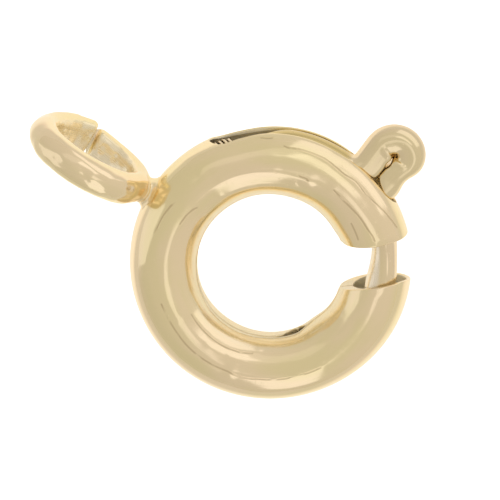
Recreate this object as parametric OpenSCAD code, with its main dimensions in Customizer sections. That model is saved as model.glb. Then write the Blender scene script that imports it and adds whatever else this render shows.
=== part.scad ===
// Spring ring clasp of a chain: a bent tube with a gap, a sprung wire gate inside it with
// a thumb nub, and a split jump ring soldered on. Millimetres.
// The origin is the centre of the ring. The clasp lies on a flat surface below it, on the
// jump ring and on the far side of the tube, so its ring leans a few degrees.

/* [Ring tube] */
// Radius of the tube's centre line
ring_r = 2.28; // [2.1:0.02:2.6]
// Outer radius of the tube
tube_r = 0.72; // [0.68:0.01:0.85]
// Thickness of the sheet that the tube is rolled from
wall = 0.13; // [0.1:0.01:0.16]
// Width of the rolled seam that stays open along the inside of the ring
seam_w = 0.05; // [0.03:0.01:0.12]

/* [Gap] */
// Width of the parallel gap that the chain's link goes through
gap_w = 0.94; // [0.7:0.02:1.1]
// Direction of the gap, as an angle about the ring's axis from the side away from the jump ring
gap_turn = 39.4; // [34:0.2:44]
// Shift of the gap sideways from the ring's centre
gap_shift = -0.14; // [-0.25:0.01:0]

/* [Gate] */
// Diameter of the gate's wire
wire_d = 0.58; // [0.5:0.01:0.62]
// Distance of the gate's wire outside the tube's centre line
gate_out = 0.12; // [0.06:0.01:0.14]
// Length of the gate that stands in the far mouth of the gap when it is shut
tip_in = 0.6; // [0.4:0.02:0.7]
// Angle from the nub to the gate's tail, which pushes the spring
tail_turn = 55.2; // [45:0.2:60]
// Angle that the open gate's tip stands back behind the near face of the gap
open_spare = 0.4; // [0:0.2:2]

/* [Thumb nub] */
// Direction of the nub, as an angle about the ring's axis
nub_turn = 80.4; // [78:0.2:84]
// Shift of the nub's middle line sideways from the ring's centre
nub_shift = -0.41; // [-0.5:0.01:-0.3]
// Height of the middle of the nub's loop above the tube
nub_rise = 0.48; // [0.4:0.01:0.6]
// Radius of the loop's centre line
loop_r = 0.385; // [0.38:0.005:0.42]
// Lean of each leg of the nub towards the other
leg_lean = 5.5; // [3:0.5:6]
// Radius of the bends between the legs and the wire in the tube, at the wire's centre
bend_r = 0.34; // [0.33:0.01:0.4]

/* [Slot] */
// Play round the nub's wire in the slot
slot_play = 0.07; // [0.05:0.01:0.1]
// Angle of slot beyond the nub's travel
slot_spare = 32.5; // [20:0.5:40]

/* [Spring] */
// Diameter of the spring's wire
spring_wire = 0.1; // [0.08:0.01:0.12]
// Play between the spring and the inside of the tube
spring_play = 0.05; // [0.04:0.01:0.08]
// Turns of the spring
spring_turns = 22; // [16:1:24]
// Angle of the ring that the spring fills
spring_turn = 110; // [100:1:115]
// Thickness of the plug that the spring rests on
stop_t = 0.25; // [0.15:0.05:0.4]

/* [Jump ring] */
// Diameter of the jump ring's hole
jump_hole = 1.78; // [1.6:0.02:2]
// Thickness of the jump ring from its hole to its rim
jump_t = 0.55; // [0.45:0.01:0.62]
// Width of the jump ring along its axis
jump_w = 0.65; // [0.6:0.01:0.7]
// Width of the split in the jump ring
split_w = 0.06; // [0.04:0.01:0.12]
// Angle of the split below the jump ring's outer end
split_turn = 83; // [60:1:100]
// Radius of the solder that joins the jump ring and the tube
solder_r = 0.27; // [0.2:0.01:0.3]

/* [Hidden] */
$fn = 96;

// Overlap of the jump ring's rim and the tube, where they were pressed together and soldered
jump_sink = 0.02;
// Depth of the solder in the jump ring's rim, and the part of the wall that it takes up
solder_deep = 0.2;
solder_in_wall = 0.75;
// Clear space between the spring and what it pushes
spring_gap = 0.03;
// How far a cut runs past what it cuts
past = 0.3;
// A ball this much wider than the wire closes each joint of two stretches of it
ball_grow = 1.01;
// The slot's ends are drilled this much wider than the slot
drill_grow = 1.03;

bore_r = tube_r - wall;
ring_out = ring_r + tube_r;
gate_r = ring_r + gate_out;
wire_r = wire_d / 2;
jump_in = jump_hole / 2;
jump_out = jump_in + jump_t;
jump_x = ring_out + jump_out - jump_sink;
rest_lean = asin((jump_out - tube_r) / (jump_x + ring_r));

// The nub in its own plane: x across the legs, y outwards along the nub, from the ring's centre
loop_mid = [-nub_shift, ring_out + nub_rise];

// Side is 1 for the leg nearer the gap, -1 for the leg nearer the tail
function leg_side(side) = [side * cos(leg_lean), -sin(leg_lean)];
function leg_down(side) = [-side * sin(leg_lean), -cos(leg_lean)];
function leg_top(side) = loop_mid + loop_r * leg_side(side);

// Length of the leg down to where its bend meets the circle of the wire in the tube
function leg_len(side) =
    let (b = loop_mid + (loop_r + bend_r) * leg_side(side), w = leg_down(side), d = b * w)
    -d - sqrt(d * d - b * b + pow(gate_r + bend_r, 2));
function leg_foot(side) = leg_top(side) + leg_len(side) * leg_down(side);
function bend_mid(side) = leg_foot(side) + bend_r * leg_side(side);

// Angles about the ring's axis
function turn_of(p) = nub_turn + atan2(p.y, p.x) - 90;
function leg_turn(side) = turn_of(leg_foot(side));
function bend_turn(side) = turn_of(bend_mid(side));
far_face = gap_turn + asin((gap_shift - gap_w / 2) / gate_r);
near_face = gap_turn + asin((gap_shift + gap_w / 2) / gate_r);
tip_turn = far_face - (tip_in - wire_r) / gate_r * 180 / PI;
open_turn = near_face - far_face + tip_in / gate_r * 180 / PI + open_spare;
tail_end = nub_turn + tail_turn;
slot_from = leg_turn(1);
slot_to = leg_turn(-1) + open_turn + slot_spare;
slot_half = wire_r + slot_play;
gap_deg = spring_gap / ring_r * 180 / PI;
spring_from = tail_end + gap_deg;
spring_to = spring_from + spring_turn;
stop_from = spring_to + gap_deg;
stop_deg = stop_t / ring_r * 180 / PI;

// Spring: close turns at both ends, and the first turn is drawn in to sit on the gate's tail
coil_r = bore_r - spring_play - spring_wire / 2;
seat_r = wire_r - spring_wire;
close_pitch = 1.45 * spring_wire / ring_r * 180 / PI;
close_first = 3;
close_last = 1.5;
wire_deg = spring_wire / ring_r * 180 / PI;
open_pitch = (spring_turn - wire_deg - (close_first + close_last) * close_pitch)
    / (spring_turns - close_first - close_last);
coil_sides = 12;
wire_sides = 6;

function coil_turn(t) = spring_from + wire_deg / 2 + close_pitch * min(t, close_first)
    + open_pitch * max(0, min(t, spring_turns - close_last) - close_first)
    + close_pitch * max(0, t - spring_turns + close_last);
function coil_rad(t) = seat_r + (coil_r - seat_r) * min(t, 1);
function coil_at(t, r) =
    let (a = coil_turn(t), out = ring_r + r * cos(360 * t))
    [out * cos(a), out * sin(a), r * sin(360 * t)];
function unit(v) = v / norm(v);

// The ring lies flat in here, and the whole clasp leans as it rests
module lean() {
    rotate([0, rest_lean, 0]) children();
}

module tube_section() {
    difference() {
        circle(r = tube_r);
        circle(r = bore_r);
        translate([-tube_r - past, -seam_w / 2]) square([tube_r + past, seam_w]);
    }
}

module gap_cut() {
    rotate([0, 0, gap_turn])
        translate([ring_r - tube_r - past, gap_shift - gap_w / 2, -tube_r - past])
            cube([2 * (tube_r + past), gap_w, 2 * (tube_r + past)]);
}

// Slot in the outer wall that the nub slides along, with round ends
module slot_cut() {
    rotate_extrude(angle = slot_to - slot_from, start = slot_from)
        translate([ring_r, -slot_half]) square([tube_r + past, 2 * slot_half]);
    for (a = [slot_from, slot_to])
        rotate([0, 0, a]) translate([ring_r, 0, 0]) rotate([0, 90, 0])
            cylinder(r = slot_half * drill_grow, h = tube_r + past);
}

module tube() {
    difference() {
        rotate_extrude() translate([ring_r, 0]) tube_section();
        gap_cut();
        slot_cut();
    }
}

// Plug inside the tube that holds the spring's far end
module spring_stop() {
    rotate_extrude(angle = stop_deg, start = stop_from)
        translate([ring_r, 0]) circle(r = tube_r - wall / 2);
}

// Round outside, flat inside, with its hole across the ring
module jump_section() {
    difference() {
        translate([jump_out - jump_w / 2, 0]) circle(d = jump_w);
        translate([jump_in - jump_w, -jump_w]) square([jump_w, 2 * jump_w]);
    }
}

module jump_ring() {
    translate([-jump_x, 0, 0]) rotate([90, 0, 0])
        difference() {
            rotate_extrude() jump_section();
            rotate([0, 0, 180 + split_turn]) translate([0, -split_w / 2, -jump_w])
                cube([jump_out + past, split_w, 2 * jump_w]);
        }
}

module solder() {
    translate([-ring_out - solder_deep, 0, 0]) rotate([0, 90, 0])
        cylinder(r = solder_r, h = solder_deep + solder_in_wall * wall);
}

// Tube, plug, solder and jump ring are one piece of metal
module ring_body() {
    color("palegoldenrod") lean() {
        tube();
        spring_stop();
        jump_ring();
        solder();
    }
}

// A stretch of the gate's wire, bent about a point of the ring's plane
module wire_arc(mid, r, from, to) {
    translate([mid.x, mid.y, 0]) rotate_extrude(angle = to - from, start = from)
        translate([r, 0]) circle(r = wire_r);
}

module ball(at) {
    translate([at.x, at.y, 0]) sphere(r = wire_r * ball_grow);
}

module wire_line(from, to) {
    along = to - from;
    translate([from.x, from.y, 0]) rotate([0, 90, atan2(along.y, along.x)])
        cylinder(r = wire_r, h = norm(along));
}

// One piece of round wire: shut across the gap, out through the slot as a loop, and back in
module gate() {
    color("khaki") lean() {
        rotate([0, 0, tip_turn]) ball([gate_r, 0]);
        wire_arc([0, 0], gate_r, tip_turn, bend_turn(1));
        wire_arc([0, 0], gate_r, bend_turn(-1), tail_end);
        rotate([0, 0, nub_turn - 90]) {
            wire_arc(loop_mid, loop_r, -leg_lean, 180 + leg_lean);
            for (side = [1, -1]) {
                ball(leg_top(side));
                wire_line(leg_top(side), leg_foot(side));
                ball(leg_foot(side));
                nub_bend(side);
                ball(bend_mid(side) * gate_r / (gate_r + bend_r));
            }
        }
    }
}

// Bend from the circle of the wire in the tube to a leg of the nub
module nub_bend(side) {
    mid = bend_mid(side);
    inwards = atan2(-mid.y, -mid.x);
    if (side == 1) wire_arc(mid, bend_r, -180 - leg_lean, inwards);
    else wire_arc(mid, bend_r, inwards, leg_lean);
}

// Coil spring between the gate's tail and the plug
module spring() {
    steps = spring_turns * coil_sides;
    sections = [for (i = [0:steps])
        let (t = i / coil_sides, r = coil_rad(t), p = coil_at(t, r),
            ahead = unit(coil_at(t + 0.01, r) - coil_at(t - 0.01, r)),
            out = unit(p - coil_at(t, 0)),
            across = unit(cross(ahead, out)), flat_out = cross(across, ahead))
        for (k = [0:wire_sides - 1])
            let (a = 360 * k / wire_sides)
            p + spring_wire / 2 * (cos(a) * flat_out + sin(a) * across)];
    sides = [for (i = [0:steps - 1], k = [0:wire_sides - 1])
        let (a = i * wire_sides + k, b = i * wire_sides + (k + 1) % wire_sides)
        for (f = [[a, a + wire_sides, b], [b, a + wire_sides, b + wire_sides]]) f];
    start_cap = [for (k = [0:wire_sides - 1]) k];
    end_cap = [for (k = [0:wire_sides - 1]) steps * wire_sides + wire_sides - 1 - k];
    color("silver") lean()
        polyhedron(points = sections, faces = concat(sides, [start_cap, end_cap]));
}

ring_body();
gate();
spring();
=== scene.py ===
# %% [markdown]
# # Spring ring clasp
# A small ring clasp for a chain, about 9 mm long: a hollow tube bent to a ring, a wire gate
# that slides inside it against a coil spring, and a split jump ring soldered to the side.
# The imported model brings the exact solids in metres. This lesson dresses each of them.

# %% Load the frame
from math import asin, atan2, cos, degrees, pi, radians, sin, sqrt, tan
import bmesh
import bpy
import numpy as np
from mathutils import Matrix, Vector


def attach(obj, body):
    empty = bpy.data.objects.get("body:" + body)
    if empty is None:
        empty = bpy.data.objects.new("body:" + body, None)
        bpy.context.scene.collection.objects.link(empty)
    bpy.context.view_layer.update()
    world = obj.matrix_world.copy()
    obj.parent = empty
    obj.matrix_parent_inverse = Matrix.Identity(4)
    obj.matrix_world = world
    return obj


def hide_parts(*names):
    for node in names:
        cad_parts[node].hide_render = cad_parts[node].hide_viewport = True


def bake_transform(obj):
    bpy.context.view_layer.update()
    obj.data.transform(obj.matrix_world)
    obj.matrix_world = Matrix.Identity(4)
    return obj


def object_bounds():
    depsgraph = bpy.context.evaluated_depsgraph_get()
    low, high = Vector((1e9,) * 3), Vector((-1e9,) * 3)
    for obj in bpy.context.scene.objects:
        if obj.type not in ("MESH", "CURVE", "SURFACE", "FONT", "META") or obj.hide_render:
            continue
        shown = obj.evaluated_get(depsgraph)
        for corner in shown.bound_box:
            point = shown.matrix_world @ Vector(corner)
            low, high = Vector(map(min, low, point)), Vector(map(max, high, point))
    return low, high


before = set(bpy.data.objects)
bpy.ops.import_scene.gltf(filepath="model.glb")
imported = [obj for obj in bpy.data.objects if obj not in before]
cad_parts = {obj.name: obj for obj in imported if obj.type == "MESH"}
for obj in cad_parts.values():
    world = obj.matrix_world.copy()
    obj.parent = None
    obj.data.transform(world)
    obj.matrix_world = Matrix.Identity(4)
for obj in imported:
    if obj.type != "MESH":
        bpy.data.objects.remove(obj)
cad_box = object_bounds()
scene = bpy.context.scene
MM = 0.001

# %% [markdown]
# ## One set of axes for the ring
# The clasp lies on its jump ring and on the far side of its tube, so the ring leans a few
# degrees. Everything is drawn with the ring flat, in millimetres, and then leaned. Angles
# go round the ring's axis, and 0 degrees points away from the jump ring.

# %% Axes of the ring
REST_LEAN = radians(6.169)
LEAN = np.array([[cos(REST_LEAN), 0, sin(REST_LEAN)],
                 [0, 1, 0],
                 [-sin(REST_LEAN), 0, cos(REST_LEAN)]])


def leaned(points):
    """Points of the flat ring, in mm, to the frame's metres."""
    return np.asarray(points, float) @ LEAN.T * MM


def at_turn(turn):
    """Unit vector out from the ring's axis, at an angle in degrees."""
    a = radians(turn)
    return np.array([cos(a), sin(a), 0.0])


def soft_step(x):
    """0 to 1 with no corner at either end."""
    x = np.clip(x, 0, 1)
    return x * x * (3 - 2 * x)


def bell(x, middle, reach):
    """1 at the middle, and down to nothing about two reaches away from it."""
    return np.exp(-((x - middle) / reach) ** 2)


def polar(radius, angle):
    """Points in a plane from radii and angles in radians."""
    return np.column_stack([radius * np.cos(angle), radius * np.sin(angle)])


def direction(tilt, turn):
    """Unit vector at a tilt from the ring's axis towards a turn, both in degrees."""
    way = sin(radians(tilt)) * at_turn(turn)
    way[2] = cos(radians(tilt))
    return way


print("ring axis in the frame", leaned([0, 0, 1000]).round(3))

# %% [markdown]
# ## Camera
# The photograph looks almost straight down through a long lens, 16.7 degrees off the ring's
# axis. The camera's own matrix holds its small roll, and a slight lens shift puts the ring a
# little right of the middle.

# %% Camera
VIEW_TILT = 16.7
VIEW_TURN = 115.1
IMAGE_UP_TURN = 121.1
VIEW_DISTANCE = 45.6
PIXELS_PER_MM = 47.02
IMAGE_SIZE = 500
RING_PIXEL = (270.6, 263.5)
SENSOR = 36.0

toward = direction(VIEW_TILT, VIEW_TURN)
right = np.cross(-toward, at_turn(IMAGE_UP_TURN))
right /= np.linalg.norm(right)
image_up = np.cross(toward, right)
axes = LEAN @ np.stack([right, image_up, toward], axis=1)

lens = bpy.data.cameras.new("studio_camera")
lens.sensor_width = SENSOR
lens.lens = SENSOR * PIXELS_PER_MM * VIEW_DISTANCE / IMAGE_SIZE
lens.shift_x = (IMAGE_SIZE / 2 - RING_PIXEL[0]) / IMAGE_SIZE
lens.shift_y = (RING_PIXEL[1] - IMAGE_SIZE / 2) / IMAGE_SIZE
lens.clip_start = 1 * MM
lens.clip_end = 1.0
camera = bpy.data.objects.new("studio_camera", lens)
scene.collection.objects.link(camera)
matrix = Matrix(axes.tolist()).to_4x4()
matrix.translation = Vector(leaned(toward * VIEW_DISTANCE))
camera.matrix_world = matrix
scene.camera = camera
print("lens", round(lens.lens, 1), "mm, elevation",
      round(degrees(asin(camera.matrix_world.translation.normalized().z)), 1))

# %% [markdown]
# ## Helpers for meshes
# Each piece is a set of points and faces worked out with numpy. One helper welds points that
# fall together, drops faces that have shrunk away, and makes the Blender object.

# %% Mesh helper
WELD = 1e-5


def without_repeats(corners):
    """A face's corners in order, without neighbours that have been welded together."""
    kept = [c for i, c in enumerate(corners) if c != corners[i - 1]]
    return kept if len(kept) > 2 and len(set(kept)) == len(kept) else None


def ring_faces(before, start, size):
    """Faces between two closed rings of points, given by the numbers of their first points."""
    return [(before + k, before + (k + 1) % size, start + (k + 1) % size, start + k)
            for k in range(size)]


def make_piece(name, points, faces, grain=None, inside=None, wear=None, fold=None):
    """A Blender object from points of the flat ring in mm and faces of point numbers.

    grain is each point's place along and across the metal, inside and wear are 0 to 1, and
    fold says how near a fine fold is and on which side."""
    points = np.asarray(points, float)
    keys = np.round(points / WELD).astype(np.int64)
    _, first, same = np.unique(keys, axis=0, return_index=True, return_inverse=True)
    same = same.ravel()
    kept = [without_repeats([int(same[i]) for i in face]) for face in faces]
    kept = [face for face in kept if face]
    used = np.unique(np.concatenate(kept))
    number = np.zeros(len(first), int)
    number[used] = np.arange(len(used))
    source = first[used]
    mesh = bpy.data.meshes.new(name)
    mesh.from_pydata(leaned(points[source]).tolist(), [], [number[face].tolist() for face in kept])
    shape = bmesh.new()
    shape.from_mesh(mesh)
    bmesh.ops.recalc_face_normals(shape, faces=shape.faces)
    for face in shape.faces:
        face.smooth = True
    shape.to_mesh(mesh)
    open_edges = sum(1 for e in shape.edges if not e.is_manifold)
    shape.free()
    grain = points if grain is None else grain
    for name_of, stored, parts in (("grain", grain, 3), ("fold", fold, 3), ("inside", inside, 1),
                                   ("wear", wear, 1)):
        stored = np.zeros((len(points), parts)) if stored is None else np.asarray(stored)
        values = mesh.attributes.new(name_of, "FLOAT_VECTOR" if parts == 3 else "FLOAT", "POINT")
        values.data.foreach_set("vector" if parts == 3 else "value",
                                stored[source].astype(np.float32).ravel())
    piece = bpy.data.objects.new(name, mesh)
    scene.collection.objects.link(piece)
    mesh.calc_loop_triangles()
    print(name, len(mesh.loop_triangles), "triangles,", open_edges, "open edges")
    return piece


# %% [markdown]
# ## Ring tube
# The real tube is rolled from thin sheet and bent to a ring. Its seam stays open along the
# inside, a slot in the outer wall lets the thumb nub out, and a gap lets the chain's link in.
# Booleans would leave ragged shading, so the wall is one grid: columns round the ring, each
# with the outside, the seam's lip, the inside and the slot's lip. Where there is no slot, the
# front and rear halves share points.

# %% Sizes of the tube
RING_R = 2.28
TUBE_R = 0.72
GAP_TURN = 39.4
NEAR_OFFSET = 0.33
FAR_OFFSET = -0.61
SLOT_FROM = 66.0
SLOT_TO = 140.5
SLOT_END = 6.2
LIP = 0.018
RIM = 0.02
# The sheet's thickness along the slot, and what its folds and burrs add to it
SHEET = 0.045
SEAM_FOLD = 0.085
GAP_FOLD = 0.13
SLOT_BURR = 0.045
MOUTH_BURR = 0.055
# How far the seam's front edge is turned up, and what a file took off the near face's top
EDGE_UP = 0.026
FILE_DEPTH = 0.05
UNDER_FILE = 0.04
# How far back and how far out of flat the two faces of the gap stand
NEAR_BACK, NEAR_LEAN = 0.03, 0.045
FAR_BACK, FAR_LEAN, FAR_TWIST, FAR_BULGE = 0.105, 0.085, 0.02, 0.055
FACE_REACH = 22

# Half widths of the slot along it, for the front lip and the rear lip
SLOT_TURNS = [58, 70, 84, 94, 101, 107, 112, 124, 134, 140, 147, 156]
SLOT_FRONT = [0.33, 0.345, 0.36, 0.36, 0.34, 0.325, 0.32, 0.32, 0.35, 0.385, 0.385, 0.37]
SLOT_REAR = [0.34, 0.35, 0.36, 0.36, 0.35, 0.33, 0.325, 0.33, 0.34, 0.34, 0.33, 0.33]
# Heights of the seam's front and rear lips round the ring. They part in one place
SEAM_TURNS = [40, 60, 120, 190, 225, 250, 300, 311, 317, 322, 325, 330, 342, 385]
SEAM_FRONT = [0.05, 0.06, 0.08, 0.12, 0.17, 0.20, 0.20, 0.20, 0.20, 0.20, 0.18, 0.13, 0.07, 0.05]
SEAM_REAR = [0.0, 0.01, 0.03, 0.075, 0.13, 0.16, 0.15, 0.08, -0.04, -0.14, -0.10, 0.06, 0.045, 0.03]


def slot_open(turn):
    """1 along the slot, and down to 0 at its round ends."""
    over = np.maximum(np.maximum(SLOT_FROM - turn, turn - SLOT_TO), 0) / SLOT_END
    left = 1 - over ** 2
    return np.sqrt(np.where(left > 1e-6, left, 0))


print("tube", 2 * TUBE_R, "mm thick, ring", round(2 * (RING_R + TUBE_R), 2), "mm across")

# %% [markdown]
# ### Forming marks
# Rolling and bending thin tube leaves long soft creases, and polishing leaves shallow waves.
# They draw the bands of light along the bright ring. Each crease has a height, a reach and
# points of (angle round the ring, angle round the tube). Round the tube, 0 degrees faces out,
# 90 is the top and 180 faces the hole.

# %% Creases of the tube
CREASES = [
    (0.013, 13, [(47, 88), (60, 88), (74, 91), (90, 87)]),
    (-0.006, 7, [(51, 114), (60, 108), (71, 101), (87, 94)]),
    (-0.010, 10, [(48, 37), (55, 44), (61, 53), (69, 64), (77, 58), (84, 56), (93, 55)]),
    (0.006, 8, [(91, 60), (101, 61), (108, 58), (117, 50)]),
    (0.011, 8, [(116, 55), (119, 57), (127, 63), (136, 66), (148, 63), (158, 64)]),
    (0.008, 6, [(96, 55), (104, 55), (114, 51), (122, 40)]),
    (0.010, 7, [(150, 75), (160, 78), (171, 80), (184, 79), (200, 67), (212, 58)]),
    (0.008, 11, [(114, 89), (128, 88), (141, 80), (152, 78)]),
    (0.008, 4, [(140, 38), (148, 35), (156, 27), (162, 20)]),
    (0.006, 5, [(92, 35), (101, 34), (112, 30), (124, 31), (134, 37), (146, 40)]),
    (0.014, 12, [(94, 104), (111, 99), (122, 98), (142, 94), (152, 97), (169, 101), (185, 96),
                 (208, 97), (227, 96), (242, 99)]),
    (-0.007, 8, [(88, 118), (103, 115), (120, 117), (140, 114), (160, 111)]),
    (0.013, 11, [(172, 69), (186, 68), (194, 67), (205, 62), (218, 67), (238, 71), (256, 73),
                 (272, 72), (285, 77)]),
    (0.014, 12, [(276, 83), (284, 84), (304, 86), (319, 88), (332, 90), (345, 96), (365, 95),
                 (383, 92)]),
    (0.006, 7, [(256, 112), (275, 121), (298, 133)]),
    (0.005, 6, [(259, 104), (275, 107), (288, 113)]),
    (0.005, 6, [(312, 111), (325, 107), (338, 107)]),
    (0.006, 8, [(350, 115), (366, 111), (380, 106)]),
    (-0.006, 9, [(329, 74), (352, 80), (369, 77), (381, 79)]),
    (-0.010, 9, [(150, 120), (187, 137), (210, 146), (240, 158), (270, 155), (305, 150), (334, 146),
                 (360, 138)]),
]


def on_line(at, line):
    """How far inside a line's ends a place is, and the line's angle across the metal there."""
    places, angles = zip(*line)
    return min(at - places[0], places[-1] - at), np.interp(at, places, angles)


def crease(at, across, marks, soft=0.25, fade=5.0):
    """Height of a set of creases at a place along the metal and angles across it."""
    rise = 0 * across
    for height, reach, line in marks:
        ends, middle = on_line(at, line)
        away = (across - middle) / reach
        rise = rise + height * soft_step(ends / fade) * np.exp(soft - np.sqrt(away ** 2 + soft ** 2))
    return rise


# Swellings and hollows: height, place and reach round the ring, place and reach round the tube
SWELLS = [(-0.03, 134, 9, 0, 55), (0.03, 275, 38, 0, 50), (0.035, 99, 18, -35, 20),
          (-0.035, 47, 9, 170, 35), (-0.035, 47, 9, -170, 35),
          (0.035, 338, 10, 175, 30), (0.035, 338, 10, -175, 30)]
# Small knocks, in the same columns
SWELLS += [(-0.012, 102.5, 1.3, 114, 3.5), (-0.010, 104.3, 0.9, 111, 3), (-0.008, 100.8, 0.9, 117, 3),
           (-0.006, 98.7, 0.8, 61, 2.5), (-0.006, 274, 1.2, 107, 3), (-0.006, 284, 1.5, 100, 3),
           (-0.007, 190, 1.6, 72, 3.5), (-0.008, 44.9, 0.8, 96, 3)]
rng = np.random.default_rng(7)
WAVES = [(rng.uniform(2, 9), rng.integers(1, 5), rng.uniform(0, 2 * pi),
          rng.uniform(0.0010, 0.0022)) for _ in range(9)]


def filed(turn, section):
    """Where a file has broken the top edge of the near face, 0 to 1."""
    return (1 - soft_step((turn - 47.8) / 2.6)) * bell(section, 63, 14)


def skin(turn, section):
    """How far the outer skin stands out from a true round tube, in mm."""
    ring, part = np.radians(turn), np.radians(section)
    rise = crease(turn, section, CREASES)
    for round_ring, round_tube, start, height in WAVES:
        rise = rise + height * np.sin(round_ring * ring + round_tube * part + start)
    for height, at, long, middle, wide in SWELLS:
        rise = rise + height * bell(turn, at, long) * bell(section, middle, wide)
    edge = 180 - degrees(asin(np.interp(turn, SEAM_TURNS, SEAM_FRONT) / TUBE_R))
    return rise + EDGE_UP * bell(section, edge, 3) - FILE_DEPTH * filed(turn, section)


def wall(turn, section):
    """Thickness of the sheet: thin along the slot, folded thicker beside the seam."""
    back = soft_step((np.abs(section) - 70) / 100)
    near_gap = min(bell(turn, 47, 9) + bell(turn, 384, 9), 1)
    burr = (SLOT_BURR * slot_open(turn) * bell(turn, 128, 16) * (section < 0)
            + MOUTH_BURR * bell(turn, 385, 7))
    return (SHEET + (SEAM_FOLD + GAP_FOLD * near_gap) * back + burr * (1 - back)
            + UNDER_FILE * filed(turn, section))


print(len(CREASES), "creases,", len(SWELLS), "swellings and knocks")

# %% [markdown]
# ### Fine folds
# Beside some creases the sheet has folded in a hairline, too narrow for the mesh, and the
# finish paints a dark line of shade along it. Every point stores how near the closest fold is
# and on which side. The finish draws the painted shade line where the side changes, so it
# comes out sharper than the mesh.

# %% Folds of the tube
FOLD_REACH = 0.09
FOLDS = [
    [(51, 38), (58, 48), (63, 55), (67, 59), (71, 62), (75, 60), (79, 58), (85, 61), (91, 58),
     (96, 55), (108, 54), (113, 55), (117, 50)],
    [(49, 88), (54, 89), (58, 92), (64, 93), (71, 95), (77, 96), (82, 94), (87, 92)],
    [(51, 115), (59, 113), (66, 111)],
    [(97, 106), (99, 100), (101, 97), (104, 97), (107, 96)],
    [(118, 38), (122, 40), (127, 36)],
    [(166, 110), (171, 104), (176, 102), (184, 101)],
    [(170, 74), (176, 72), (182, 70), (188, 70), (194, 69)],
    [(226, 81), (233, 83), (244, 83), (254, 82), (263, 82), (272, 83), (279, 84), (286, 81),
     (296, 84), (306, 84), (317, 85), (325, 85), (331, 85)],
    [(239, 121), (247, 120), (255, 120), (264, 119), (272, 120), (282, 122), (292, 127)],
]


def fold_values(turn, section):
    """Nearness, 0 to 1, and signed side of the closest fold, for the points of a column."""
    closest, strength = np.full(len(section), 1.0), np.zeros(len(section))
    for line in FOLDS:
        ends, middle = on_line(turn, line)
        if ends <= 0:
            continue
        away = np.radians(section - middle) * TUBE_R
        closer = np.abs(away) < np.abs(closest)
        closest = np.where(closer, away, closest)
        strength = np.where(closer, soft_step(ends / 3), strength)
    near = bell(closest, 0, FOLD_REACH)
    return np.column_stack([strength * near, closest / FOLD_REACH * near, 0 * near])


print(len(FOLDS), "folds")

# %% Columns and profile of the tube
near_mid = GAP_TURN + degrees(asin(NEAR_OFFSET / RING_R))
far_mid = 360 + GAP_TURN + degrees(asin(FAR_OFFSET / RING_R))
rim_deg = degrees(RIM / RING_R)
COLUMNS = 290


def rim_columns(end, way, angles):
    """Columns over the rounded rim at one end of the tube, each a turn and an inset."""
    return [(end + way * rim_deg * (1 - sin(radians(a))), RIM * (1 - cos(radians(a))))
            for a in angles]


turns = set(np.round(np.linspace(near_mid + 2 * rim_deg, far_mid - 2 * rim_deg, COLUMNS), 4))
for end, way in ((SLOT_FROM, -1), (SLOT_TO, 1)):
    turns |= {round(end + way * SLOT_END * sin(radians(a)), 4) for a in np.linspace(0, 90, 11)}
turns = sorted(turns)
turns = [t for i, t in enumerate(turns) if i == 0 or t - turns[i - 1] > 0.02]
columns = (rim_columns(near_mid, 1, (90, 60, 30, 0)) + [(t, 0.0) for t in turns]
           + rim_columns(far_mid, -1, (0, 30, 60, 90)))
OUTER_NEAR, OUTER_FAR = 14, 44
LIP_STEPS = 4


def lip_points(radius_out, radius_in, height, rounding, side):
    """Points of a lip from the outside to the inside, as x and z of the section."""
    high = height + rounding
    mid_out = sqrt(max((radius_out - rounding) ** 2 - high ** 2, 0))
    mid_in = sqrt(max((radius_in + rounding) ** 2 - high ** 2, 0))
    start = asin(high / (radius_out - rounding))
    finish = asin(high / (radius_in + rounding)) - pi
    share = np.arange(1, LIP_STEPS) / LIP_STEPS
    points = [np.array([mid, high]) + polar(rounding, a0 + (a1 - a0) * share)
              for mid, a0, a1 in ((mid_out, start, -pi / 2), (mid_in, -pi / 2, finish))]
    return np.concatenate(points) * [side, 1], start, finish + pi


def half_profile(turn, inset, half):
    """One half of the wall at a column: outside, seam lip, inside, slot lip."""
    wide = slot_open(turn)
    slot = np.interp(turn, SLOT_TURNS, SLOT_FRONT if half > 0 else SLOT_REAR) * wide
    seam = half * np.interp(turn, SEAM_TURNS, SEAM_FRONT if half > 0 else SEAM_REAR) + inset
    rounding = LIP * min(1, slot / 0.15)
    out_r = TUBE_R - inset
    slot_in = TUBE_R - wall(turn, 20 * half) + inset
    seam_in = TUBE_R - wall(turn, 175) + inset
    slot_lip, a_out, a_in = lip_points(out_r, slot_in, slot, rounding, 1)
    seam_lip, b_out, b_in = lip_points(out_r, seam_in, seam, LIP, -1)
    b_out, b_in = pi - b_out, pi - b_in
    split = radians(60)
    # Points crowd together towards the seam, where the sheet's edge turns up
    share = 1 - np.linspace(1, 0, OUTER_FAR) ** 1.6
    outer = np.concatenate([np.linspace(a_out, split, OUTER_NEAR, endpoint=False),
                            split + (b_out - split) * share])
    inner = np.concatenate([np.linspace(a_in, split, OUTER_NEAR, endpoint=False),
                            np.linspace(split, b_in, OUTER_FAR)])
    outer_r = out_r + skin(turn, np.degrees(outer) * half)
    inner_r = TUBE_R - wall(turn, np.degrees(inner) * half) + inset
    section = np.concatenate([polar(outer_r, outer), seam_lip * [outer_r[-1] / out_r, 1],
                              polar(inner_r, inner)[::-1], slot_lip[::-1] * [outer_r[0] / out_r, 1]])
    return section * [1, half], slot


def part_angles(section):
    """Angle round the tube of each point of a section."""
    return np.degrees(np.arctan2(section[:, 1], section[:, 0]))


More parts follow.
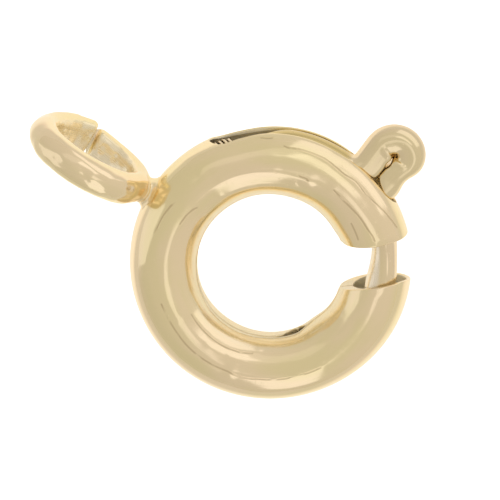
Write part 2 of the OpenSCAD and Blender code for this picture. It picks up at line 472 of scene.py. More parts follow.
def column_points(turn, section):
    """Section points to the flat ring, bent to the gap's faces near the gap.

    The saw leaned as it cut, so the faces stand a little apart from flat and square."""
    out = RING_R + section[:, 0]
    top = np.clip(section[:, 1] / TUBE_R, 0, 1)
    near_face = NEAR_OFFSET - NEAR_BACK - NEAR_LEAN * top
    far_face = (FAR_OFFSET - FAR_BACK + FAR_LEAN * top ** 1.5 - FAR_TWIST * section[:, 0] / TUBE_R
                + FAR_BULGE * bell(part_angles(section), 36, 34))
    angle = np.full(len(out), turn)
    for face, offset, end, way in ((near_face, NEAR_OFFSET, near_mid, 1),
                                   (far_face, FAR_OFFSET, far_mid, -1)):
        share = 1 - soft_step(way * (turn - end) / FACE_REACH)
        angle += share * (np.degrees(np.arcsin(face / out)) - degrees(asin(offset / RING_R)))
    return np.column_stack([polar(out, np.radians(angle)), section[:, 1]])


print(len(columns), "columns round the tube")

# %% Ring tube
points, faces, grain, inside, rubbed, folds = [], [], [], [], [], []
count = OUTER_NEAR + OUTER_FAR
lip_count = 2 * (LIP_STEPS - 1)
loop = 2 * (count + lip_count)
inner_end = 2 * count + lip_count - 1
for half in (1, -1):
    before = None
    for number, (turn, inset) in enumerate(columns):
        section, slot = half_profile(turn, inset, half)
        start = len(points)
        points.extend(column_points(turn, section))
        along = np.full(len(section), radians(turn) * RING_R)
        grain.extend(np.column_stack([along, section]))
        deep = np.hypot(section[:, 0], section[:, 1])
        part = part_angles(section)
        raw = soft_step((TUBE_R - wall(turn, part) + 0.015 - deep) / 0.015)
        inside.extend(raw)
        folds.extend(fold_values(turn, part))
        # The ring that hangs in the clasp rubs the side that faces the hole
        rubbed.extend((1 - raw) * soft_step((np.abs(part) - 126) / 34))
        if before is not None:
            old, old_slot = before
            # Where there is no slot, the lip's faces at the loop's end are left out
            lip_faces = 0 if slot or old_slot else lip_count + 1
            faces += ring_faces(old, start, loop)[:loop - lip_faces]
        if number in (0, len(columns) - 1):
            for i in range(count - 1):
                faces.append((start + i, start + i + 1, start + inner_end - i - 1,
                              start + inner_end - i))
            faces.append(tuple(range(start + count - 1, start + count + lip_count + 1)))
        before = (start, slot)
ring_tube = make_piece("ring_tube", points, faces, grain, inside, rubbed, folds)

# %% [markdown]
# ## Sweeping a section along a path
# The jump ring, the gate and the spring are wire: a section carried along a line. One helper
# does this for a section that may change along the way, and closes both ends.

# %% Sweep helper
def sweep(name, centres, outs, acrosses, section_at, wear_at=None, slide_at=None, raw_at=None):
    """A closed piece: section_at(i) gives points (out, across) at each centre of the path,
    and slide_at(i) says how far each of them slides along it."""
    acrosses = np.broadcast_to(acrosses, np.shape(centres))
    points, faces, grain, wear, raw, before, along = [], [], [], [], [], None, 0.0
    for i, (centre, out, across) in enumerate(zip(centres, outs, acrosses)):
        section = section_at(i)
        start, size = len(points), len(section)
        ring = centre + section[:, :1] * out + section[:, 1:] * across
        if slide_at:
            ring = ring + slide_at(i)[:, None] * np.cross(out, across)
        points.extend(ring)
        along += np.linalg.norm(centre - centres[max(i - 1, 0)])
        grain.extend(np.column_stack([np.full(size, along), section]))
        wear.extend(wear_at(i) if wear_at else np.zeros(size))
        raw.extend(raw_at(i) if raw_at else np.zeros(size))
        if before is not None:
            faces += ring_faces(before, start, size)
        before = start
    faces.append(tuple(range(size)))
    faces.append(tuple(range(before + size - 1, before - 1, -1)))
    return make_piece(name, points, faces, grain, raw, wear)


def along_line(line):
    """Unit directions along a line of points."""
    step = np.gradient(line, axis=0)
    return step / np.linalg.norm(step, axis=1)[:, None]


# %% [markdown]
# ## Jump ring
# The jump ring is stout half-round wire bent to a ring and left open underneath. Its two ends
# don't meet well: the one by the tube is higher and nipped at a slant, and the other is
# broader. A fixed section would look machined, so the rim has creases, dents and bites.

# %% Jump ring
JUMP_X = 4.42
JUMP_IN = 0.89
JUMP_MID = 1.115
JUMP_R = 0.325
SPLIT_AT = 263.0
SPLIT_HALF = 2.9
JUMP_SIDES = 80
JUMP_STEPS = 220
JUMP_AROUND = (np.linspace(0, 360, JUMP_SIDES, endpoint=False) + 180) % 360 - 180
END_INSETS = (0.035, 0.016, 0.005)
# The end by the tube: how far its inner edge stands back and its outer edge forward
SLANT_IN, SLANT_OUT, SLANT_STEPS = 0.05, 0.125, 10
JUMP_CREASES = [
    (0.016, 22, [(6, 50), (24, 51), (48, 42), (62, 30), (84, 33), (98, 51), (112, 51), (129, 63),
                 (150, 57), (186, 70), (240, 66)]),
    (-0.008, 14, [(80, -24), (94, 15), (105, 3), (122, -12)]),
    (-0.006, 12, [(30, 10), (52, -4), (74, -20)]),
    (0.006, 16, [(150, -30), (200, -20), (240, 0)]),
]
# Dents: place, part, length and width in degrees, depth
JUMP_DENTS = [(114, -12, 7, 16, 0.020), (78, -20, 7, 14, 0.018), (44, 22, 6, 14, 0.012),
              (96, 0, 6, 16, -0.010), (256, 175, 8, 30, 0.012), (284, 190, 8, 30, 0.014),
              (305, 170, 7, 26, 0.012)]
# Bites of the pliers in the inner face, in the same columns
JUMP_BITES = [(rng.uniform(205, 345), rng.uniform(152, 205), rng.uniform(1.8, 4.5),
               rng.uniform(7, 18), rng.uniform(-0.018, 0.028)) for _ in range(26)]
angles = np.linspace(SPLIT_AT + SPLIT_HALF, SPLIT_AT + 360 - SPLIT_HALF, JUMP_STEPS)
jump_out = np.insert(polar(1, np.radians(angles)), 1, 0, axis=1)
after, before = angles - SPLIT_AT, SPLIT_AT + 360 - angles
shift = -0.05 * bell(after, 0, 20) + 0.03 * bell(before, 0, 20)
sideways = 0.045 * bell(after, 0, 20) + 0.05 * soft_step(1 - before / 80)
spread = 1 + 0.30 * soft_step(1 - before / 80) + 0.10 * soft_step(1 - after / 60)
jump_centres = (np.array([-JUMP_X, 0, 0]) + shift[:, None] * jump_out
                + sideways[:, None] * np.array([0, 1.0, 0]))


def pressed(turn, marks):
    """Depth of dents or bites at a turn of the jump ring, for every point round its wire."""
    depth = 0 * JUMP_AROUND
    for at, part, long, wide, most in marks:
        away = (JUMP_AROUND - part + 180) % 360 - 180
        depth = depth + most * bell(turn, at, long) * bell(away, 0, wide)
    return depth


def jump_section(i):
    """Round outside and flattened inside, with soft corners, creases and a few dents."""
    turn = angles[i] % 360
    flat = JUMP_IN - JUMP_MID
    end = min(i, JUMP_STEPS - 1 - i)
    inset = END_INSETS[end] if end < len(END_INSETS) else 0
    a = np.radians(JUMP_AROUND)
    radius = JUMP_R + crease(turn, JUMP_AROUND, JUMP_CREASES)
    top = soft_step((turn - 5) / 40) * soft_step((175 - turn) / 40)
    radius = radius + 0.05 * top * np.clip(-np.sin(a), 0, None) ** 1.5 - pressed(turn, JUMP_DENTS)
    radius = radius * (1 + 0.008 * np.sin(radians(3 * turn) + 2 * a)
                       + 0.006 * np.sin(radians(7 * turn) - a + 1.3))
    x, y = polar(radius, a).T
    rough = 0.004 * sin(radians(11 * turn)) + 0.003 * sin(radians(23 * turn))
    x = flat + rough + 0.5 * ((x - flat) + np.sqrt((x - flat) ** 2 + 0.03)) - 0.05
    x = x + pressed(turn, JUMP_BITES)
    grow = 1 - inset / JUMP_R
    return np.column_stack([JUMP_MID + x * grow, y * grow * spread[i]])


def end_slant(i):
    """The end by the tube was nipped off at a slant, so its face looks up into the ring."""
    share = (jump_section(i)[:, 0] - JUMP_IN) / (JUMP_MID + JUMP_R - JUMP_IN)
    return max(1 - i / SLANT_STEPS, 0) * (SLANT_IN * (1 - share) - SLANT_OUT * share)


inner_face = soft_step((np.abs(JUMP_AROUND) - 112) / 20)


def jump_raw(i):
    """The inner face was polished less."""
    return 0.19 * inner_face


def jump_wear(i):
    """Pliers have scored the inner face on the split's side."""
    return 0.5 * inner_face * soft_step(cos(radians(angles[i] - 280)) + 0.6)


jump_ring = sweep("jump_ring", jump_centres, jump_out, [0, 1.0, 0], jump_section, jump_wear,
                  end_slant, jump_raw)

# %% [markdown]
# ## Solder joint
# Hard solder leaves a small concave fillet between the jump ring and the tube. For each
# direction round the joint, it leaves the tube's skin, pinches in, and runs out on the jump
# ring's rim. Its ends are sunk a little in the metal.

# %% Solder joint
SOLDER_SIDES = 72
# Radii of the fillet sideways and upwards, where it leaves the tube and reaches the jump ring
ON_TUBE, ON_JUMP = (0.40, 0.36), (0.305, 0.36)
PINCH = 0.8
a = np.linspace(0, 2 * pi, SOLDER_SIDES, endpoint=False)
side, high = np.cos(a), np.sin(a)


def tube_face(r):
    """Where the tube's outer skin lies on the jump ring's side, at a radius all round."""
    return -np.sqrt((RING_R + np.sqrt(TUBE_R ** 2 - (r * high) ** 2)) ** 2 - (r * side) ** 2)


def jump_face(r):
    """Where the jump ring's rim lies on the tube's side, at a radius all round."""
    return -JUMP_X + np.sqrt((JUMP_MID + np.sqrt(JUMP_R ** 2 - (r * side) ** 2)) ** 2
                             - (r * high) ** 2)


uneven = 1 + 0.05 * np.sin(3 * a + 0.4) + 0.03 * np.sin(7 * a + 2)
on_tube = (ON_TUBE[0] * side ** 2 + ON_TUBE[1] * high ** 2) * uneven
on_jump = (ON_JUMP[0] * side ** 2 + ON_JUMP[1] * high ** 2) * np.minimum(uneven, 1.03)
pinch = PINCH * np.minimum(on_tube, on_jump)
# Each ring of the fillet is its places along X and its radii, for every direction
first = np.array([tube_face(on_tube), on_tube])
last = np.array([jump_face(on_jump), on_jump])
middle = np.array([(tube_face(pinch) + jump_face(pinch)) / 2, pinch])
rings = [(first[0] + 0.05, 0.2 * first[1]), (first[0] + 0.04, 0.9 * first[1])]
rings += [(1 - t) ** 2 * first + 2 * t * (1 - t) * middle + t ** 2 * last
          for t in np.linspace(0, 1, 13)]
rings += [(last[0] - 0.04, 0.9 * last[1]), (last[0] - 0.06, 0.2 * last[1])]
points = np.concatenate([np.column_stack([x, r * side, r * high]) for x, r in rings])
faces = [face for i in range(len(rings) - 1)
         for face in ring_faces(i * SOLDER_SIDES, (i + 1) * SOLDER_SIDES, SOLDER_SIDES)]
faces += [tuple(range(SOLDER_SIDES)), tuple(reversed(range(len(points))))[:SOLDER_SIDES]]
solder_joint = make_piece("solder_joint", points, faces)

# %% [markdown]
# ## Plug
# The spring needs a firm end to push against. It is hidden in the tube, so it is drawn as the
# simplest thing that would do: a short round slug, fast in the bore.

# %% Plug
PLUG_TURNS = (247.1, 253.4)
PLUG_R = 0.60
PLUG_INSETS = [0.05, 0.015, 0, 0, 0, 0, 0, 0.015, 0.05]
plug_out = np.array([at_turn(t) for t in np.linspace(*PLUG_TURNS, len(PLUG_INSETS))])


def plug_section(i):
    """A round slug that fits the bore."""
    return polar(PLUG_R - PLUG_INSETS[i], np.linspace(0, 2 * pi, 48, endpoint=False))


spring_plug = sweep("spring_plug", RING_R * plug_out, plug_out, [0, 0, 1.0], plug_section)

# %% [markdown]
# ## Gate
# One wire makes the gate: it crosses the gap, comes out through the slot, loops round as the
# thumb nub, goes back in and runs on to the spring. Its line is arcs and straight legs, as a
# jeweller bends it round pins, then evened out so that the sweep has no corners.

# %% Line of the gate
GATE_R = 2.40
WIRE_R = 0.29
NUB_TURN = 80.4
LOOP_MID = np.array([0.41, 3.48])
LOOP_R = 0.385
LEG_LEAN = 5.5
BEND_R = 0.34
LEG_LENGTHS = {1: 0.8825, -1: 0.4317}
TAIL_OUT = 0.253
TAIL_IN_FROM = 111.0
TAIL_IN_BY = 23.0
TIP_TURN = 17.28
TAIL_TURN = 135.6


def arc(middle, radius, start, finish, steps):
    """Points of an arc in a plane."""
    return middle + polar(radius, np.radians(np.linspace(start, finish, steps)))


def nub_side(side):
    """The leg, bend and place on the gate's circle of one side of the nub."""
    lean = radians(LEG_LEAN)
    outward = np.array([side * cos(lean), -sin(lean)])
    down = np.array([-side * sin(lean), -cos(lean)])
    top = LOOP_MID + LOOP_R * outward
    foot = top + LEG_LENGTHS[side] * down
    middle = foot + BEND_R * outward
    inward = degrees(atan2(-middle[1], -middle[0]))
    leg = np.linspace(top, foot, 14)
    bend = arc(middle, BEND_R, -180 - LEG_LEAN if side == 1 else LEG_LEAN, inward, 12)
    turn = degrees(atan2(middle[1], middle[0])) - 90 + NUB_TURN
    return leg, bend, turn


leg_near, bend_near, turn_near = nub_side(1)
leg_far, bend_far, turn_far = nub_side(-1)
nub = np.concatenate([bend_near[::-1], leg_near[::-1][1:],
                      arc(LOOP_MID, LOOP_R, -LEG_LEAN, 180 + LEG_LEAN, 40)[1:],
                      leg_far[1:], bend_far[1:]])
nub_across, nub_up = at_turn(NUB_TURN - 90), at_turn(NUB_TURN)
nub = nub @ np.array([nub_across, nub_up])[:, :2]
tail_turns = np.linspace(turn_far, TAIL_TURN, 50)
tail_r = GATE_R + TAIL_OUT * (1 - soft_step((tail_turns - TAIL_IN_FROM) / TAIL_IN_BY))
tail = polar(tail_r, np.radians(tail_turns))
gate_line = np.concatenate([arc((0, 0), GATE_R, TIP_TURN, turn_near, 40)[:-1], nub, tail[1:]])
gate_line = np.pad(gate_line, ((0, 0), (0, 1)))
print("bends meet the gate's circle at", round(turn_near, 2), round(turn_far, 2))


def even_line(line, steps, passes):
    """The line at even steps, with its corners evened out."""
    length = np.concatenate([[0], np.cumsum(np.linalg.norm(np.diff(line, axis=0), axis=1))])
    at = np.linspace(0, length[-1], steps)
    even = np.stack([np.interp(at, length, line[:, k]) for k in range(3)], axis=1)
    for _ in range(passes):
        even[1:-1] = 0.5 * even[1:-1] + 0.25 * (even[:-2] + even[2:])
    return even, length[-1]


TIP_LIFT = 0.20
TIP_REACH = 1.2
MOUTH_OUT = (0.03, 0.055)
GATE_STEPS = 380
GATE_SIDES = 56
gate_line, gate_length = even_line(gate_line, GATE_STEPS, 12)
gate_s = np.linspace(0, gate_length, GATE_STEPS)
gate_line[:, 2] = TIP_LIFT * (1 - soft_step(gate_s / TIP_REACH))
# In the gap the wire is straighter than the circle, and stands out most by the near face
bow = MOUTH_OUT[0] * (1 - soft_step((gate_s - 1.6) / 0.5)) + MOUTH_OUT[1] * bell(gate_s, 1.35, 0.45)
gate_line[:, :2] *= (1 + bow / np.linalg.norm(gate_line[:, :2], axis=1))[:, None]
print("gate wire", round(gate_length, 2), "mm long, its tip lifted", TIP_LIFT)

# %% Gate wire
TAIL_ROUND = 0.02
END_RINGS = 8
gate_along = along_line(gate_line)
up = np.array([0, 0, 1.0])
gate_out = np.cross(gate_along, up)
end_turns = np.radians(np.linspace(90, 0, END_RINGS + 1)[:-1])
head = [gate_line[0] - WIRE_R * sin(a) * gate_along[0] for a in end_turns]
# The tip is round, and the tail ends almost flat against the spring's first turn
foot = [gate_line[-1] + TAIL_ROUND * sin(a) * gate_along[-1] for a in end_turns[::-1]]
scales = np.concatenate([np.cos(end_turns), np.ones(GATE_STEPS),
                         1 - TAIL_ROUND / WIRE_R * (1 - np.cos(end_turns[::-1]))])
centres = np.concatenate([head, gate_line, foot])
outs = np.pad(gate_out, ((END_RINGS, END_RINGS), (0, 0)), "edge")
gate_at = np.pad(gate_s, END_RINGS, "edge")
above_loop = centres @ nub_up - LOOP_MID[1]
loop_gap = np.abs(centres @ nub_across - LOOP_MID[0]) - WIRE_R
GATE_CREASES = [
    (0.012, 26, [(0.2, 112), (0.7, 110), (1.35, 113)]),
    (0.006, 9, [(0.2, 80), (0.8, 82), (1.4, 84)]),
    (0.010, 14, [(2.6, 92), (2.9, 88), (3.4, 76), (4.0, 74), (4.6, 78), (5.1, 84)]),
    (0.005, 5, [(2.55, 102), (2.8, 100), (3.1, 98)]),
    (0.005, 5, [(4.65, 108), (4.85, 106), (5.05, 104)]),
    (-0.012, 14, [(4.0, 122), (4.25, 118), (4.45, 126)]),
    (-0.034, 8, [(3.5, 158), (3.9, 160), (4.3, 154), (4.6, 150), (4.75, 150)]),
]
# Half widths of the small eye between the legs, at heights from the loop's middle
EYE_AT = [-0.36, -0.32, -0.28, -0.23, -0.17, -0.12, -0.07]
EYE_HALF = [0.0, 0.002, 0.013, 0.024, 0.022, 0.007, 0.0]
# Where the nub starts, where its near leg ends and where it ends, in mm along the wire
NUB_FROM, NEAR_LEG_TO, NUB_TO = 2.0, 3.9, 5.6
# How far the slot lies below the loop's middle
SLOT_DOWN = 0.7
WAIST = 0.12
TIP_SPREAD, TIP_WORN = 0.115, 0.03
GATE_AROUND = np.linspace(0, 360, GATE_SIDES, endpoint=False)


def in_gap(s):
    """1 along the bare wire in the gap, and 0 from where the tube covers it."""
    return soft_step((1.5 - s) / 0.3)


def gate_section(i):
    """A round wire, worn in the gap and pressed together in the nub."""
    a, s, over = np.radians(GATE_AROUND), gate_at[i], above_loop[i]
    inner, outer = np.clip(-np.cos(a), 0, None), np.clip(np.cos(a), 0, None)
    radius = WIRE_R + crease(s, GATE_AROUND, GATE_CREASES, fade=0.3)
    radius = radius + 0.004 * np.sin(2.1 * s + 2 * a) + 0.003 * np.sin(5.3 * s - a + 0.7)
    # The far mouth has spread the tip on its inner side, and worn the outer one
    spread = TIP_SPREAD * (1 - soft_step((s - 0.2) / 0.8)) - 0.01
    radius = radius + in_gap(s) * (spread * inner ** 1.5 - TIP_WORN * outer ** 2)
    # The legs of the nub are squeezed together and squared under a small eye
    if over > -SLOT_DOWN and NUB_FROM < s < NUB_TO:
        above_slot = soft_step((over + SLOT_DOWN) / 0.2)
        legs = soft_step((0.1 - over) / 0.2) * above_slot
        room = loop_gap[i] if over < 0 else LOOP_R - WIRE_R
        press = max(room - np.interp(over, EYE_AT, EYE_HALF), 0) * above_slot
        square = 2 + 5 * legs
        squared = (np.abs(np.cos(a)) ** square + np.abs(np.sin(a)) ** square) ** (-1 / square)
        faced = soft_step(-over / 0.15)
        radius = radius * np.where(inner > 0, squared, 1) + (1 - faced) * press * inner ** 2
        if s < NEAR_LEG_TO:
            # Pliers have narrowed the leg nearer the gap
            radius = radius - WAIST * bell(over, -0.20, 0.24) * outer ** 1.5
        if over < 0:
            wall_at = loop_gap[i] + WIRE_R - np.interp(over, EYE_AT, EYE_HALF)
            met = faced * press * soft_step(inner / 0.5)
            flat = np.maximum(radius * np.cos(a) - met, -wall_at)
            return np.column_stack([flat, radius * np.sin(a)])
    return polar(radius * max(scales[i], 0.02), a)


def gate_wear(i):
    """The strip that the chain's link has rubbed, on the upper inner side in the gap."""
    strip = soft_step((GATE_AROUND - 112) / 8) * soft_step((190 - GATE_AROUND) / 20)
    return strip * in_gap(gate_at[i])


gate_wire = sweep("gate_wire", centres, outs, up, gate_section, gate_wear)

# %% [markdown]
# ## Coil spring
# The spring fills the tube between the gate's tail and a plug. It is one wire swept along a
# helix that is itself bent round the ring. Its first turns are close, and three show.

# %% Coil spring
SPRING_WIRE = 0.06
SPRING_TURNS = 22
SPRING_SPAN = 110.0
SPRING_FROM = 136.35
CLOSE_PITCH = 2.0
CLOSE_FIRST = 7
CLOSE_LAST = 2
TURN_LEAN = 3.8
COIL_R = 0.54
SEAT_R = 0.19
BOWED = 0.03
STEPS_PER_TURN = 20
t = np.linspace(0, SPRING_TURNS, SPRING_TURNS * STEPS_PER_TURN + 1)
wound = 2 * pi * t
wire_deg = degrees(SPRING_WIRE / RING_R)
start, finish = SPRING_FROM + wire_deg / 2, SPRING_FROM + SPRING_SPAN - wire_deg / 2
coil_turn = np.interp(t, [0, CLOSE_FIRST, SPRING_TURNS - CLOSE_LAST, SPRING_TURNS],
                      [start, start + CLOSE_FIRST * CLOSE_PITCH,
                       finish - CLOSE_LAST * CLOSE_PITCH, finish])
leaning = soft_step((t - 0.3) / 0.7) * soft_step((13 - t) / 6)
coil_turn = coil_turn - TURN_LEAN * leaning * np.sin(wound)
coil_r = SEAT_R + (COIL_R - SEAT_R) * np.minimum(t, 1)
bowed = RING_R + BOWED * soft_step(t / 2) * soft_step((SPRING_TURNS - t) / 2)
ring_out = np.column_stack([polar(1, np.radians(coil_turn)), 0 * t])
outward = np.cos(wound)[:, None] * ring_out + np.sin(wound)[:, None] * up
coil_line = bowed[:, None] * ring_out + coil_r[:, None] * outward
across = np.cross(along_line(coil_line), outward)
across /= np.linalg.norm(across, axis=1)[:, None]
circle = polar(SPRING_WIRE / 2, np.linspace(0, 2 * pi, 10, endpoint=False))
coil_spring = sweep("coil_spring", coil_line, outward, across, lambda i: circle)

# %% [markdown]
# ## Bodies
# The tube, jump ring, solder and plug are one piece of metal and ride on the body. The gate
# rides on its own body. The spring is attached to neither: its placement is baked into its
# points.

# %% Bodies
for piece in (ring_tube, jump_ring, solder_joint, spring_plug):
    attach(piece, "body")
    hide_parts("ring_body")
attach(gate_wire, "gate")
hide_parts("gate")
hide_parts("spring")
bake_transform(coil_spring)
print("spring shares the gate's motion from", SPRING_FROM, "to", SPRING_FROM + SPRING_SPAN)

# %% [markdown]
# ## Shader maths as plain Python
# Finishes are written as expressions. A small class wraps a node's output, so that adding or
# multiplying two of them makes a Math node. Every other node comes from one method.

# %% Shader helper
class Value:
    """The output of a node, which Python's operators turn into Math nodes."""

    def __init__(self, nodes, socket):
        self.nodes, self.socket = nodes, socket

    def maths(self, operation, first, second):
        return self.nodes.node("ShaderNodeMath", {"operation": operation}, {0: first, 1: second})

    def __add__(self, other):
        return self.maths("ADD", self, other)

    def __rsub__(self, other):
        return self.maths("SUBTRACT", other, self)

    def __mul__(self, other):
        return self.maths("MULTIPLY", self, other)

    __radd__, __rmul__ = __add__, __mul__


class Nodes:
    """A node tree, and the one way its nodes are made."""

    def __init__(self, tree):
        self.tree = tree

    def node(self, kind, settings=None, sockets=None, out=0):
        made = self.tree.nodes.new(kind)
        for name, value in (settings or {}).items():
            setattr(made, name, value)
        self.feed(made, sockets or {})
        return Value(self, made.outputs[out])

    def feed(self, made, sockets):
        for name, value in sockets.items():
            if isinstance(value, Value):
                self.tree.links.new(value.socket, made.inputs[name])
            else:
                made.inputs[name].default_value = value


class Finish(Nodes):
    """A material, with the textures that its marks come from."""

    def __init__(self, name):
        self.material = bpy.data.materials.new(name)
        self.material.use_nodes = True
        super().__init__(self.material.node_tree)

    def surface(self, **sockets):
        self.feed(self.tree.nodes["Principled BSDF"],
                  {n.replace("_", " "): v for n, v in sockets.items()})

    def mix(self, amount, first, second):
        """A colour between two colours. The Mix node keeps its colours in sockets 6 and 7."""
        return self.node("ShaderNodeMix", {"data_type": "RGBA"},
                         {0: amount, 6: first, 7: second}, out=2)

    def stored(self, name, out="Vector"):
        """What the mesh stores under a name."""
        return self.node("ShaderNodeAttribute", {"attribute_name": name}, out=out)

    def part(self, name, axis):
        """One part of a stored vector."""
        return self.node("ShaderNodeSeparateXYZ", None, {"Vector": self.stored(name)}, out=axis)

    def place(self, stretch, turn=0.0):
        """Millimetres along and across the metal, stretched for a texture."""
        return self.node("ShaderNodeMapping", None,
                         {"Vector": self.stored("grain"), "Rotation": (0, 0, turn), "Scale": stretch})

    def noise(self, stretch, detail=1.0, turn=0.0):
        return self.node("ShaderNodeTexNoise", None,
                         {"Vector": self.place(stretch, turn), "Scale": 1.0, "Detail": detail})

    def band(self, value, low, high):
        """0 below low, 1 above high, and smooth between them."""
        return self.node("ShaderNodeMapRange", {"interpolation_type": "SMOOTHSTEP"},
                         {"Value": value, "From Min": low, "From Max": high})

    def bump(self, height, microns, **below):
        return self.node("ShaderNodeBump", None,
                         {"Height": height, "Distance": microns * 1e-6, **below})


# %% [markdown]
# ## Gold finishes
# The clasp is polished pale yellow gold that has been worn: shallow waves left by the buff, long
# hairlines along the metal, shorter strokes across it, a few pits, and a little change of
# colour. A dark hairline of shade is painted along the fine folds, and the gate's tail inside
# the tube is painted a deeper yellow for its shade. Inside the tube the sheet was never
# polished, and is pale and matte. One function makes every finish, and each only sets how
# strong the marks are.

# %% Gold
ROSY_GOLD = (0.955, 0.785, 0.53, 1)
GREEN_GOLD = (0.905, 0.775, 0.465, 1)
RAW_GOLD = (0.98, 0.92, 0.73, 1)
WORN_GOLD = (0.98, 0.89, 0.74, 1)
# Painted shade: the deeper yellow of the gate's tail, standing for its shade and the gold reflected
# round it inside the tube
TAIL_SHADE_GOLD = (0.67, 0.53, 0.245, 1)
DULL_GOLD = (0.855, 0.765, 0.56, 1)
# Painted shade: the dark hairline drawn along the fine folds
FOLD_SHADE_GOLD = (0.52, 0.39, 0.22, 1)
# Heights of the marks in thousandths of a millimetre
WAVE_UM, SCRATCH_UM, PIT_UM, FOLD_UM = 9.0, -0.35, -3.0, -2.0


def gold_finish(name, pale=ROSY_GOLD, deep=GREEN_GOLD, polish=0.125, waves=1.0, scratches=1.0,
                pits=1.0, worn=WORN_GOLD, worn_scratches=3.0, shaded_tail_from=100.0):
    """Polished metal with buffing waves, scratches, pits, an unpolished inside, worn places and
    painted shade along fine folds.

    Past the given place along a wire, in mm, the polish has gone, and the gold is painted a deeper
    yellow as the shade and reflected gold inside the tube."""
    gold = Finish(name)
    inside, wear = gold.stored("inside", "Fac"), gold.stored("wear", "Fac")
    cloud = gold.band(gold.noise((0.5, 1.6, 1.6), detail=3.0), 0.35, 0.65)
    hairs = gold.band(gold.noise((1.3, 45, 45)), 0.60, 0.72)
    strokes = gold.band(gold.noise((38, 3.0, 3.0), turn=0.5), 0.64, 0.74)
    patch = gold.band(gold.noise((1.2, 1.7, 1.7), detail=0.0), 0.50, 0.62)
    cells = gold.node("ShaderNodeTexVoronoi", None,
                      {"Vector": gold.place((7, 7, 7)), "Scale": 1.0}, out="Distance")
    few = gold.band(gold.noise((2.2, 2.2, 2.2)), 0.56, 0.62)
    pit = (1 - gold.band(cells, 0.06, 0.16)) * few
    marks = hairs * 0.7 + strokes * patch * 0.9
    near, side = gold.part("fold", "X"), gold.part("fold", "Y")
    broken = gold.band(gold.noise((3.5, 7, 7), detail=2.0), 0.30, 0.48)
    # Mask of the fine folds: it paints a dark hairline of shade into the colour and grooves the bump
    folded = gold.band(near, 0.5, 0.8) * (1 - gold.band(side * side, 0.002, 0.07)) * broken
    tail = gold.band(gold.part("grain", "X"), shaded_tail_from, shaded_tail_from + 0.25)
    colour = gold.mix(cloud, pale, deep)
    # The tail inside the tube is painted deeper for its shade and reflected gold; its rougher polish
    # below is real
    colour = gold.mix(tail, colour, TAIL_SHADE_GOLD)
    colour = gold.mix(inside, colour, RAW_GOLD)
    colour = gold.mix(wear * 0.8, colour, worn)
    colour = gold.mix(folded * 0.5, colour, FOLD_SHADE_GOLD)
    rough = polish + marks * (0.10 * scratches) + inside * 0.38 + wear * 0.14 + tail * 0.12
    normal = gold.bump(gold.noise((1.1, 2.6, 2.6), detail=1.5), WAVE_UM * waves)
    normal = gold.bump(marks * (1 + wear * worn_scratches), SCRATCH_UM * scratches, Normal=normal)
    normal = gold.bump(pit, PIT_UM * pits, Normal=normal)
    normal = gold.bump(folded, FOLD_UM, Normal=normal)
    gold.surface(Base_Color=colour, Metallic=1 - inside, Roughness=rough, Normal=normal)
    return gold.material


tube_gold = gold_finish("tube_gold", worn=DULL_GOLD)
jump_gold = gold_finish("jump_ring_gold", waves=1.3, scratches=1.4, worn_scratches=4.5)
gate_gold = gold_finish("gate_gold", pale=(0.885, 0.725, 0.50, 1), deep=(0.85, 0.715, 0.45, 1),
                        waves=0.8, scratches=1.5, shaded_tail_from=5.45)
solder_gold = gold_finish("solder_gold", polish=0.24, waves=2.0, scratches=0.6, pits=2.0)
spring_metal = gold_finish("spring_metal", pale=(0.78, 0.65, 0.45, 1), deep=(0.70, 0.58, 0.39, 1),
                           polish=0.32, waves=0.0, pits=0.0)
for piece, metal, name in ((ring_tube, tube_gold, "gold"), (jump_ring, jump_gold, "gold"),
                           (solder_joint, solder_gold, "gold"), (spring_plug, solder_gold, "gold"),
                           (gate_wire, gate_gold, "gate_gold"),
                           (coil_spring, spring_metal, "spring_steel")):
    piece.data.materials.append(metal)
print("finishes", [m.name for m in (tube_gold, jump_gold, gate_gold, solder_gold, spring_metal)])

# %% [markdown]
# ## White table
# Small jewellery is photographed on a lit white table, so that the background burns out. The
# floor glows white for the camera and less for the metal, with a brighter pool of light close
# round the clasp.

# %% Floor
FLOOR_Z = float(cad_box[0][2])
SEEN_GLOW = (0.88, 0.91, 0.97, 1)
FAR_GLOW = (0.12, 0.115, 0.105, 1)
POOL_GLOW = (0.48, 0.455, 0.415, 1)
# The pool of light, in units of about a millimetre: its shift, its stretch and its soft edge
POOL_SHIFT, POOL_STRETCH, POOL_EDGE = (1.0, 0, 0), (800, 1000, 0), (4.0, 6.8)
shape = bmesh.new()
bmesh.ops.create_grid(shape, x_segments=1, y_segments=1, size=0.5)
mesh = bpy.data.meshes.new("floor")
shape.to_mesh(mesh)
shape.free()
floor = bpy.data.objects.new("floor", mesh)
floor.location.z = FLOOR_Z
scene.collection.objects.link(floor)
table = Finish("lit_table")
seen = table.node("ShaderNodeLightPath", out="Is Camera Ray")
spot = table.node("ShaderNodeMapping", None,
                  {"Vector": table.node("ShaderNodeTexCoord", out="Object"),
                   "Location": POOL_SHIFT, "Scale": POOL_STRETCH})
apart = table.node("ShaderNodeVectorMath", {"operation": "LENGTH"}, {0: spot}, out="Value")
pool = table.mix(table.band(apart, *POOL_EDGE), POOL_GLOW, FAR_GLOW)
table.surface(Base_Color=(0.80, 0.80, 0.80, 1), Roughness=0.9, Specular_IOR_Level=0.1,
              Emission_Color=table.mix(seen, pool, SEEN_GLOW), Emission_Strength=1.0)
mesh.materials.append(table.material)
print("floor at", round(FLOOR_Z / MM, 3), "mm")

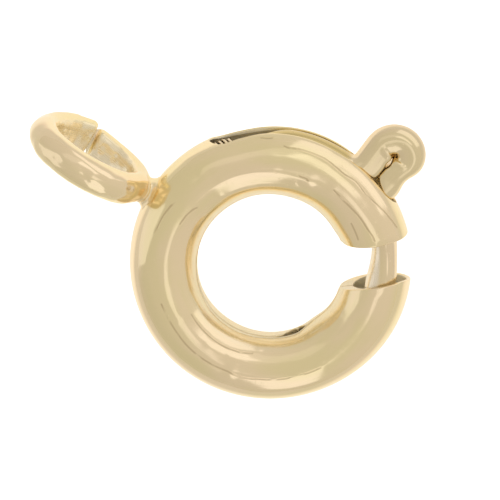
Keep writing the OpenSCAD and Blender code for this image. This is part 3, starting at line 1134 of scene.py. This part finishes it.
# %% [markdown]
# ## Soft light
# The room is one even soft light, a little brighter towards the top right of the picture.
# The lamps are soft boxes, placed by where their light falls on the metal in the photograph.

# %% World and lamps
ROOM_COLOUR = (1, 0.955, 0.87, 1)
ROOM_LEVEL = 0.68
BRIGHTER_TOWARD = 0.06 * at_turn(60) + np.array([0, 0, 0.01])
LAMP_COLOUR = (0.95, 0.96, 1.08)
# Watts a square metre that give a lamp a brightness of 1
LAMP_POWER = pi
world = bpy.data.worlds.new("studio")
world.use_nodes = True
room = Nodes(world.node_tree)
slope = room.node("ShaderNodeVectorMath", {"operation": "DOT_PRODUCT"},
                  {0: room.node("ShaderNodeTexCoord", out="Generated"),
                   1: BRIGHTER_TOWARD.tolist()}, out="Value")
room.feed(room.tree.nodes["Background"], {"Color": ROOM_COLOUR, "Strength": slope + ROOM_LEVEL})
scene.world = world


def softbox(name, tilt, turn, wide, high, brightness, distance=150):
    """A soft lamp at a tilt and turn from the clasp, with its size as seen from there."""
    lamp = bpy.data.lights.new(name, "AREA")
    lamp.shape = "RECTANGLE"
    lamp.size, lamp.size_y = (2 * distance * tan(radians(a / 2)) * MM for a in (wide, high))
    lamp.energy = LAMP_POWER * lamp.size * lamp.size_y * brightness
    lamp.color = LAMP_COLOUR
    place = direction(tilt, turn)
    box = bpy.data.objects.new(name, lamp)
    box.location = leaned(place * distance)
    box.rotation_euler = Vector(leaned(place)).to_track_quat("Z", "Y").to_euler()
    scene.collection.objects.link(box)
    print(name, "tilt", tilt, "turn", turn, "power", round(lamp.energy, 4), "W")


softbox("back_softbox", 74, 78, 62, 34, 0.31)
softbox("top_softbox", 31, 79, 32, 20, 0.32)
softbox("front_softbox", 52, 305, 20, 40, 0.37)
softbox("left_softbox", 80, 212, 30, 50, 0.27)
softbox("right_softbox", 19, 345, 20, 20, 0.25)
softbox("fill_softbox", 38, 138, 48, 24, 0.08)

# %% [markdown]
# ## Picture
# Plain colours suit a product picture, so the view transform is Standard.

# %% Picture
scene.view_settings.view_transform = "Standard"
